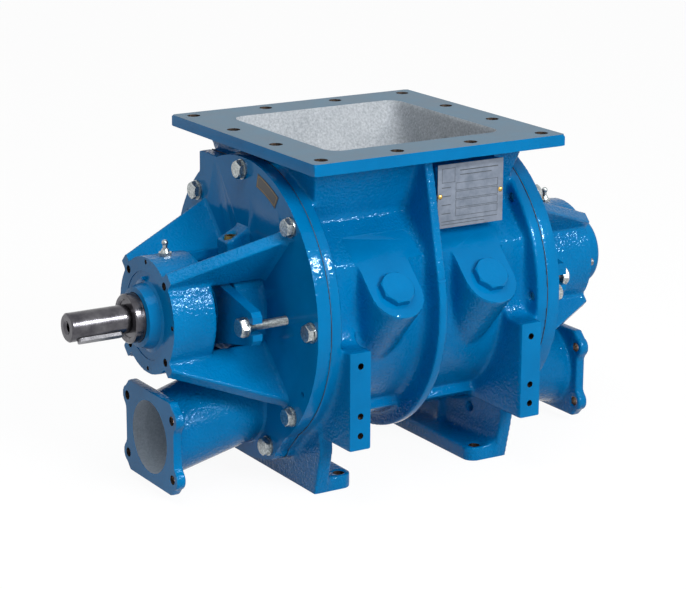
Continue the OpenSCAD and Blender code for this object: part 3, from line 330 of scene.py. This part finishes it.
seal_rubber = rubbery("nitrile_rubber", "#0f1011", "#1c1d1f", 0.5)
gasket_fibre = rubbery("gasket_fibre", "#23303a", "#33424e", 0.8, 1.0 * MM)
packing_braid = rubbery("graphite_packing_braid", "#17181a", "#3a3b3d", 0.55, weave=2.2 * MM)
label_film = rubbery("black_label_film", "#0b0b0c", "#161617", 0.35)
gold_print = rubbery("gold_printing_ink", "#7a6126", "#98793a", 0.45)
dark_print = rubbery("dark_etching_ink", "#2a3036", "#3a4148", 0.5)
print(len(bpy.data.materials), "materials so far")

# %% [markdown]
# ## Which finish each piece gets
# Each measured node keeps its shape and takes its finish by name.
# %% Finishes by node
finish_of = {
    "housing": cast_enamel, "end_cover": cast_enamel, "bearing_cap": turned_enamel,
    "gland": small_cast_enamel, "gland_bolts": zinc_plate, "cover_bolts": zinc_plate,
    "cover_washers": zinc_plate, "cover_gasket": gasket_fibre, "rotor": rotor_iron, "shaft": ground_steel,
    "shaft_key": machined_steel, "rotor_pins": machined_steel, "drive_collar": ground_steel,
    "lock_nut": machined_steel, "lock_washer": machined_steel, "outer_race": bearing_steel,
    "inner_race": bearing_steel, "bearing_balls": bearing_steel, "bearing_cage": brass_finish,
    "cap_pin": turned_enamel, "cap_grub_screw": machined_steel, "shaft_seal": seal_rubber,
    "inboard_seal": seal_rubber, "packing_rings": packing_braid, "lantern_ring": brass_finish,
    "purge_bushing": brass_finish, "grease_nipple": zinc_plate, "relief_fitting": tarnished_brass,
    "port_plug": turned_enamel, "nameplate": plate_metal, "nameplate_rivets": brass_finish,
    "rotation_label": label_film,
}


def finish_for(node):
    """The finish whose key is the longest ending of the node's name."""
    return finish_of[max((key for key in finish_of if node.endswith(key)), key=len)]


for node_name, part in parts.items():
    for slot in part.material_slots:
        slot.material = finish_for(node_name)
print({node_name: finish_for(node_name).name for node_name in list(parts)[:4]})

# %% [markdown]
# ## Cast skins
# A casting has no sharp corners: the foundry rounds every outer edge by a millimetre or two and fills
# every inner corner, where metal would crack, with a bigger fillet. Bevelling a solid made of cuts and
# joins is fragile, so the skin is made another way. A copy of the measured solid is rebuilt as an even
# net of small squares, the net is relaxed so that hollow corners fill and outer edges round, and the
# milled faces and drilled holes are then put back exactly where they were measured.
# %% An even net over a measured solid
def net_over(node, voxel):
    """A new object: the node's mesh with its doubles merged, rebuilt as a net of squares voxel mm wide."""
    mesh = parts[node].data.copy()
    joined = bmesh.new()
    joined.from_mesh(mesh)
    bmesh.ops.remove_doubles(joined, verts=joined.verts, dist=0.001 * MM)
    joined.to_mesh(mesh)
    joined.free()
    skin = bpy.data.objects.new(node + "_skin", mesh)
    bpy.context.scene.collection.objects.link(skin)
    cubes = skin.modifiers.new("even_net", "REMESH")
    cubes.mode, cubes.voxel_size = "VOXEL", voxel * MM
    bake(skin)
    return skin


def bake(piece):
    """Puts the result of a piece's modifiers into its mesh and drops them."""
    done = bpy.data.meshes.new_from_object(piece.evaluated_get(bpy.context.evaluated_depsgraph_get()))
    piece.modifiers.clear()
    piece.data = done


def read(collection, attribute, width, kind=np.float64):
    """One attribute of all of a mesh's points, edges or faces as an array of rows."""
    values = np.empty(len(collection) * width, kind)
    collection.foreach_get(attribute, values)
    return values.reshape(-1, width)


# %% Fillets by relaxing the net
def relax(mesh, fills, rounds):
    """Moves points in mm: step = mean of the neighbours minus the point. In a fill, only the part of the
    step along the outward normal is taken, and only where it is positive, which fills hollow corners;
    in a round half of the whole step is taken, which also rounds outer edges."""
    points = read(mesh.vertices, "co", 3) / MM
    start, end = read(mesh.edges, "vertices", 2, np.int64).T
    corners = read(mesh.loops, "vertex_index", 1, np.int64).reshape(-1, 4)
    count = len(points)
    valence = np.bincount(start, minlength=count) + np.bincount(end, minlength=count)

    def step():
        """The mean of each point's neighbours, minus the point."""
        total = [np.bincount(start, points[end, k], count) + np.bincount(end, points[start, k], count)
                 for k in range(3)]
        return np.stack(total, 1) / valence[:, None] - points

    for turn in range(fills):
        if turn % 3 == 0:
            across = np.cross(points[corners[:, 2]] - points[corners[:, 0]],
                              points[corners[:, 3]] - points[corners[:, 1]])
            normal = np.stack([sum(np.bincount(corners[:, c], across[:, k], count) for c in range(4))
                               for k in range(3)], 1)
            normal /= np.linalg.norm(normal, axis=1)[:, None] + 1e-12
        outward = (step() * normal).sum(1)
        points += normal * np.maximum(outward, 0)[:, None] * 0.9
    for turn in range(rounds):
        points += 0.5 * step()
    return points


# %% Milled faces and drilled holes
def put_back(points, faces, holes, reach):
    """Moves points within reach mm of a milled face onto it, and of a hole onto its wall.
    A face is (normal, offset, low corner, high corner); a hole is (centre, axis, radius, from, to)."""
    for centre, axis, radius, low, high in holes:
        axis = np.array(axis, float)
        away = points - np.array(centre, float)
        along = away @ axis
        out = away - along[:, None] * axis
        size = np.linalg.norm(out, axis=1)
        near = (abs(size - radius) < reach) & (along > low - reach) & (along < high + reach)
        points[near] += out[near] * (radius / size[near] - 1)[:, None]
    for normal, offset, low, high in faces:
        normal = np.array(normal, float)
        gap = points @ normal - offset
        near = (abs(gap) < reach) & (points > low).all(1) & (points < high).all(1)
        points[near] -= gap[near][:, None] * normal
    return points


def on_machined(points, faces, holes, slack=0.15):
    """True where a point lies on one of the milled faces or hole walls."""
    on = np.zeros(len(points), bool)
    for centre, axis, radius, low, high in holes:
        axis = np.array(axis, float)
        away = points - np.array(centre, float)
        along = away @ axis
        size = np.linalg.norm(away - along[:, None] * axis, axis=1)
        on |= (abs(size - radius) < slack) & (along > low - slack) & (along < high + slack)
    for normal, offset, low, high in faces:
        gap = points @ np.array(normal, float) - offset
        on |= (abs(gap) < slack) & (points > low).all(1) & (points < high).all(1)
    return on


# %% From net to skin
def cast_skin(node, voxel, faces, holes, rims, triangles, zones, fills=14, rounds=4):
    """The whole way for one casting: net, fillets, milled faces, then a thinner mesh, its cast attribute
    and its finishes. rims are turned outsides, written as holes are, which keep a little of the grain.
    zones is a list of (finish, test), where the test takes face centres and normals."""
    skin = net_over(node, voxel)
    mesh = skin.data
    before = len(mesh.polygons)
    points = put_back(relax(mesh, fills, rounds), faces, holes, 0.8 * voxel)
    mesh.vertices.foreach_set("co", (points * MM).ravel())
    mesh.update()
    thin = skin.modifiers.new("thin", "DECIMATE")
    thin.ratio = min(1.0, triangles / (2 * before))
    bake(skin)
    mesh = skin.data
    points = read(mesh.vertices, "co", 3) / MM
    as_cast = mesh.attributes.new("cast", "FLOAT", "POINT")
    smooth = np.maximum(on_machined(points, faces, holes), 0.75 * on_machined(points, [], rims, 0.6))
    as_cast.data.foreach_set("value", 1.0 - smooth)
    centres = read(mesh.polygons, "center", 3) / MM
    normals = read(mesh.polygons, "normal", 3)
    which = np.zeros(len(centres), np.int32)
    mesh.materials.clear()
    mesh.materials.append(cast_enamel)
    for number, (coat, test) in enumerate(zones, 1):
        mesh.materials.append(coat)
        which[test(centres, normals)] = number
    mesh.polygons.foreach_set("material_index", which)
    mesh.polygons.foreach_set("use_smooth", np.ones(len(centres), bool))
    mesh.set_sharp_from_angle(angle=math.radians(42))
    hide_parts(node)
    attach(skin, "root")
    print(skin.name, before, "squares, then", len(mesh.polygons), "triangles")
    return skin


# %% [markdown]
# ### The housing
# Its milled parts are the gasket faces, the rotor bore, the inlet face and the flange's edges, the soles
# of the feet, the pads for the motor bracket, the block under the nameplate and the plug bosses. The
# sizes below repeat the measured solid's, in millimetres, because a script can't read them off a mesh.
# %% Housing skin
FAR = 1e4
EVERYWHERE = ((-FAR, -FAR, -FAR), (FAR, FAR, FAR))
SHAFT_Z = 187.5
BORE_R, BORE_HALF = 112.0, 131.5
DISC_R, RIB_R = 152.5, 155.0
FLANGE_INSIDE, RIB_HALF = 119, 5
INLET_Z, INLET_HALF, UNDER_INLET, BELOW_INLET = 359, 150, 346, 340
INLET_PITCH, INLET_HOLE_R = 88.33, 7.0
FOOT_X, FOOT_Y, FOOT_HOLE_R, SOLE_T = 85.5, 89.5, 6.0, 15
PAD_X, PAD_Y, PAD_HOLE_R, PAD_HOLE_END = 104.15, 162.7, 3.4, 143
PLATE_Y = 127
BOSS_FACE, BOSS_TILT = 130, math.radians(44)

turned_about = ((0, 0, SHAFT_Z), (1, 0, 0))
boss_normal = (0, -math.sin(BOSS_TILT), math.cos(BOSS_TILT))
steps = (-1.5, -0.5, 0.5, 1.5)
inlet_spots = [(i * INLET_PITCH, j * INLET_PITCH) for i in steps for j in steps if 1.5 in (abs(i), abs(j))]
housing_faces = [
    ((1, 0, 0), BORE_HALF, *EVERYWHERE), ((-1, 0, 0), BORE_HALF, *EVERYWHERE),
    ((0, 0, 1), INLET_Z, *EVERYWHERE), ((0, 0, -1), 0, *EVERYWHERE),
    ((1, 0, 0), INLET_HALF, (0, -FAR, BELOW_INLET), (FAR, FAR, FAR)),
    ((-1, 0, 0), INLET_HALF, (-FAR, -FAR, BELOW_INLET), (0, FAR, FAR)),
    ((0, 1, 0), INLET_HALF, (-FAR, 0, BELOW_INLET), (FAR, FAR, FAR)),
    ((0, -1, 0), INLET_HALF, (-FAR, -FAR, BELOW_INLET), (FAR, 0, FAR)),
    ((0, -1, 0), PAD_Y, (-FAR, -FAR, 60), (FAR, FAR, 170)),
    ((0, -1, 0), PLATE_Y, (7, -FAR, 270), (90, FAR, 339)),
    (boss_normal, SHAFT_Z * math.cos(BOSS_TILT) + BOSS_FACE, (-90, -190, 170), (90, -90, 290)),
]
housing_holes = [(*turned_about, BORE_R, -BORE_HALF, BORE_HALF)]
housing_holes += [((x, y, 0), (0, 0, 1), INLET_HOLE_R, UNDER_INLET, INLET_Z) for x, y in inlet_spots]
housing_holes += [((sx * FOOT_X, sy * FOOT_Y, 0), (0, 0, 1), FOOT_HOLE_R, 0, SOLE_T)
                  for sx in (-1, 1) for sy in (-1, 1)]
housing_holes += [((sx * PAD_X, 0, z), (0, -1, 0), PAD_HOLE_R, PAD_HOLE_END, PAD_Y)
                  for sx in (-1, 1) for z in (152.1, 99.7, 79.1)]
housing_rims = [(*turned_about, DISC_R, -BORE_HALF, -FLANGE_INSIDE),
                (*turned_about, DISC_R, FLANGE_INSIDE, BORE_HALF),
                (*turned_about, RIB_R, -RIB_HALF, RIB_HALF)]


def in_holes(holes):
    """The test for faces of drilled holes: no further from the hole's axis than its radius, and inside it."""
    def test(c, n):
        """Whether each face centre lies in one of the holes."""
        found = np.zeros(len(c), bool)
        for centre, axis, radius, low, high in holes:
            away = c - np.array(centre, float)
            along = away @ np.array(axis, float)
            size = np.linalg.norm(away - along[:, None] * np.array(axis, float), axis=1)
            found |= (size < radius + 0.35) & (along > low - 1) & (along < high - 0.3)
        return found
    return test


def inside_throat(c, n):
    """Faces of the funnel: within its walls, which lean from 78 mm at the rotor to 104 mm at the inlet."""
    half = 78 + (c[:, 2] - 286) * 26 / 73
    return ((abs(c[:, 0]) < 104.5) & (abs(c[:, 1]) < half + 1.6) & (c[:, 2] > 230)
            & (c[:, 2] < INLET_Z - 0.2) & (np.hypot(c[:, 1], c[:, 2] - SHAFT_Z) > BORE_R + 0.5))


housing_zones = [
    (silver_primer, inside_throat),
    (inlet_face, lambda c, n: (c[:, 2] > INLET_Z - 0.4) & (n[:, 2] > 0.9)),
    (bored_iron, lambda c, n: np.hypot(c[:, 1], c[:, 2] - SHAFT_Z) < BORE_R + 0.5),
    (drilled_iron, in_holes(housing_holes[1:])),
]
cast_skin("housing", 1.6, housing_faces, housing_holes, housing_rims, 195000, housing_zones)

# %% [markdown]
# ### The end covers
# Each cover is one casting: a disc, a bearing hub on four tapering ribs, and a pipe stub with its flange.
# The hub face, the pipe flange's face and the holes are machined, and the disc's rim is turned; the rest
# keeps its pebbly skin. The inside of the pipe has only primer, and the face toward the rotor is bare.
# %% End cover skins
JOINT_X, DISC_X = 132, 147
HUB_X, HUB_HOLE_PCR = 259, 56
PIPE_X, PIPE_Z, PIPE_R, PIPE_RISE = 258.5, 57.5, 38.5, math.radians(15)
PIPE_BEND_X, PIPE_HOLE_R = 248, 5.0


def cover_skin(node, end, hub_holes):
    """One cover; end is -1 at the drive end and 1 at the blind end. hub_holes are pairs of the angle and
    radius of the tapped holes in the hub's face."""
    out = (end, 0, 0)
    middle = (0, 0, SHAFT_Z)
    faces = [(out, HUB_X, *EVERYWHERE), (out, PIPE_X, (-FAR, -FAR, -FAR), (FAR, FAR, 112)),
             (out, JOINT_X, *EVERYWHERE), (out, DISC_X, *EVERYWHERE)]
    bores = [(middle, out, 45.0, 222, 251), (middle, out, 46.0, 251, HUB_X), (middle, out, 30.5, 140, 178),
             ((0, 0, PIPE_Z), out, PIPE_R, 247, PIPE_X)]
    drilled = [((0, sy * 50.2, PIPE_Z + sz * 31.5), out, PIPE_HOLE_R, PIPE_BEND_X, PIPE_X)
               for sy in (-1, 1) for sz in (-1, 1)]
    drilled += [((0, -HUB_HOLE_PCR * math.cos(a), SHAFT_Z + HUB_HOLE_PCR * math.sin(a)), out, r, 240, HUB_X)
                for a, r in hub_holes]
    rims = [(middle, out, DISC_R, JOINT_X, DISC_X)]

    def in_pipe(c, n):
        """Faces of the air passage: inside the straight bore, or inside the one that rises 15 degrees."""
        u = end * c[:, 0]
        near = PIPE_R + 0.7
        straight = (np.hypot(c[:, 1], c[:, 2] - PIPE_Z) < near) & (u > 240) & (u < PIPE_X - 0.2)
        rise = (c[:, 2] - PIPE_Z) * math.cos(PIPE_RISE) - (PIPE_BEND_X - u) * math.sin(PIPE_RISE)
        return straight | ((np.hypot(c[:, 1], rise) < near) & (u > JOINT_X + 0.5) & (u < PIPE_BEND_X + 1))

    def toward_rotor(c, n):
        """Faces of the joint face that close the rotor's bore, which is turned and left bare."""
        in_bore = np.hypot(c[:, 1], c[:, 2] - SHAFT_Z) < BORE_R + 4
        return in_bore & (end * c[:, 0] < JOINT_X + 1) & (end * n[:, 0] < -0.9)

    zones = [(pipe_primer, in_pipe), (drilled_iron, in_holes(drilled)), (bored_iron, toward_rotor)]
    return cast_skin(node, 1.4, faces, bores + drilled, rims, 150000, zones, fills=16, rounds=3)


quarter = math.pi / 4
cover_skin("drive_end_cover", -1, [(k * quarter, 4.25 if k % 2 else 2.5) for k in range(8)])
cover_skin("blind_end_cover", 1, [])

# %% [markdown]
# ## The gland bolts' threads
# Two long set bolts press each gland against the packing, and their threads stand in full view in the
# windows. A bolt is one surface of rows round its axis: the shank's radius falls and rises once a turn and
# once a pitch, which makes a helix, and the head's radius is that of a hexagon cut by a 45 degree cone.
# %% A closed surface from rows of points
def from_rows(name, rows):
    """A closed mesh object from an array of rows x columns x 3 in mm: each row is a ring of points, each
    ring is joined to the next, and the first and last ring are closed with a fan round their middle."""
    count, around = rows.shape[:2]
    points = np.concatenate([rows.reshape(-1, 3), rows[:1].mean(1), rows[-1:].mean(1)])
    ring, column = np.meshgrid(np.arange(count - 1), np.arange(around), indexing="ij")
    first, second = ring * around + column, ring * around + (column + 1) % around
    quads = np.stack([first, second, second + around, first + around], -1).reshape(-1, 4)
    turn = np.arange(around)
    fans = [np.stack([start + turn, start + (turn + 1) % around, np.full(around, middle)], -1)
            for start, middle in ((0, count * around), ((count - 1) * around, count * around + 1))]
    mesh = bpy.data.meshes.new(name)
    mesh.from_pydata((points * MM).tolist(), [], quads.tolist() + fans[0].tolist() + fans[1].tolist())
    turned_out = bmesh.new()
    turned_out.from_mesh(mesh)
    bmesh.ops.recalc_face_normals(turned_out, faces=turned_out.faces)
    turned_out.to_mesh(mesh)
    turned_out.free()
    mesh.polygons.foreach_set("use_smooth", np.ones(len(mesh.polygons), bool))
    mesh.set_sharp_from_angle(angle=math.radians(40))
    piece = bpy.data.objects.new(name, mesh)
    bpy.context.scene.collection.objects.link(piece)
    return piece


def joined(name, pieces):
    """One object from several."""
    whole = bmesh.new()
    for piece in pieces:
        whole.from_mesh(piece.data)
    mesh = bpy.data.meshes.new(name)
    whole.to_mesh(mesh)
    whole.free()
    for piece in pieces:
        bpy.data.objects.remove(piece)
    whole = bpy.data.objects.new(name, mesh)
    bpy.context.scene.collection.objects.link(whole)
    return whole


# %% Gland bolts
AROUND = 48
SHANK_R, PITCH, THREAD_DEPTH = 5, 1.5, 0.9
GLAND_BOLT_Y = 88.0
SEAT, SHANK, COLLAR, HEAD, FLATS = 193.0, 55.0, 1.55, 7.5, 18.0


def gland_bolt(name, end, y):
    """A set bolt along X. u runs from the seat outwards. Shank: radius 5 - 0.9 |2 frac(u / 1.5 + a) - 1|,
    where a is the share of a turn, and full depth at the point. Head: the smaller of 9 / cos(angle from a
    flat's middle) and the cone's 8.6 + distance below the top."""
    share = np.arange(AROUND) / AROUND
    u = np.arange(-SHANK, -0.8, PITCH / 6)
    wave = abs(2 * ((u[:, None] / PITCH + share) % 1) - 1)
    point = np.minimum(1, (u + SHANK) / 1.5)[:, None]
    shank = SHANK_R - THREAD_DEPTH * np.maximum(wave, 1 - point)
    flat = FLATS / 2 / np.cos((share * 2 * math.pi) % (math.pi / 3) - math.pi / 6)
    top = COLLAR + HEAD
    high = np.array([COLLAR, top - 2.4, top - 1.8, top - 1.2, top - 0.6, top])
    head = np.minimum(flat, (FLATS / 2 - 0.4 + top - high)[:, None])
    collar = np.ones((2, AROUND)) * (FLATS / 2 + 1.2)
    radius = np.concatenate([shank, np.full((1, AROUND), 4.6), collar, head])
    u = np.concatenate([u, [0, 0, COLLAR], high])
    angle = 2 * math.pi * share
    grid = np.stack([np.broadcast_to(end * (SEAT + u)[:, None], radius.shape), y + radius * np.cos(angle),
                     SHAFT_Z + radius * np.sin(angle)], -1)
    return from_rows(name, grid)


for side, end in (("drive", -1), ("blind", 1)):
    bolts = joined(side + "_threaded_gland_bolts",
                   [gland_bolt("bolt", end, y) for y in (-GLAND_BOLT_Y, GLAND_BOLT_Y)])
    bolts.data.materials.append(zinc_plate)
    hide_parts(side + "_gland_bolts")
    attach(bolts, side + "_gland_set")
    print(bolts.name, len(bolts.data.polygons), "faces")

# %% [markdown]
# ## Marks on the nameplate and the arc label
# The plate has printed frames for entries, and the label a gold border. They hold no words here: only
# thin lines of ink, each a flat bar a few hundredths of a millimetre thick, laid on the metal.
# %% Ink lines
INK, SUNK = 0.06, 0.01
PLATE_FRONT, PLATE_X, PLATE_Z = -128.0, 8, 271.2
LABEL_FRONT = -147.4


def bar(name, x0, x1, z0, z1):
    """A flat bar of ink on the nameplate's front, from x0 to x1 and z0 to z1 in mm from its lower corner."""
    corners = np.array([(x0, z0), (x1, z0), (x1, z1), (x0, z1)])
    rows = [[(PLATE_X + x, PLATE_FRONT + SUNK - deep, PLATE_Z + z) for x, z in corners] for deep in (0, INK)]
    return from_rows(name, np.array(rows))


def frame_bars(x0, x1, z0, z1, line=0.45):
    """Four bars round a rectangle."""
    return [bar("bar", x0, x1, z0, z0 + line), bar("bar", x0, x1, z1 - line, z1),
            bar("bar", x0, x0 + line, z0, z1), bar("bar", x1 - line, x1, z0, z1)]


bars = frame_bars(5, 21, 47, 62) + [bar("bar", 27, 74, 58, 59), bar("bar", 27, 66, 53.5, 54.3)]
for low in (38, 29, 20, 11):
    bars += frame_bars(22, 74, low, low + 8) + [bar("bar", 5, 16, low + 3.6, low + 4.4)]
bars += [bar("bar", 5, 74, 6.4, 7.0), bar("bar", 5, 58, 3.2, 3.8)]
plate_print = joined("nameplate_print", bars)
plate_print.data.materials.append(dark_print)
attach(plate_print, "root")


def arc(name, r0, r1, start, stop):
    """A flat arc of ink on the label: rows at equal angles, each a rectangle r0 to r1 by the ink's depth."""
    angles = np.radians(np.linspace(start, stop, 13))
    rows = [[(LABEL_FRONT + SUNK - deep, -r * math.cos(a), SHAFT_Z + r * math.sin(a))
             for r, deep in ((r0, 0), (r1, 0), (r1, INK), (r0, INK))] for a in angles]
    return from_rows(name, np.array(rows))


border = [arc("arc", *sides) for sides in ((131.2, 131.9, 59.8, 76.2), (142.4, 143.1, 59.8, 76.2),
                                           (131.2, 143.1, 59.8, 60.1), (131.2, 143.1, 75.9, 76.2))]
label_print = joined("label_border", border)
label_print.data.materials.append(gold_print)
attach(label_print, "root")
print(len(bars), "bars on the plate,", len(border), "arcs on the label")
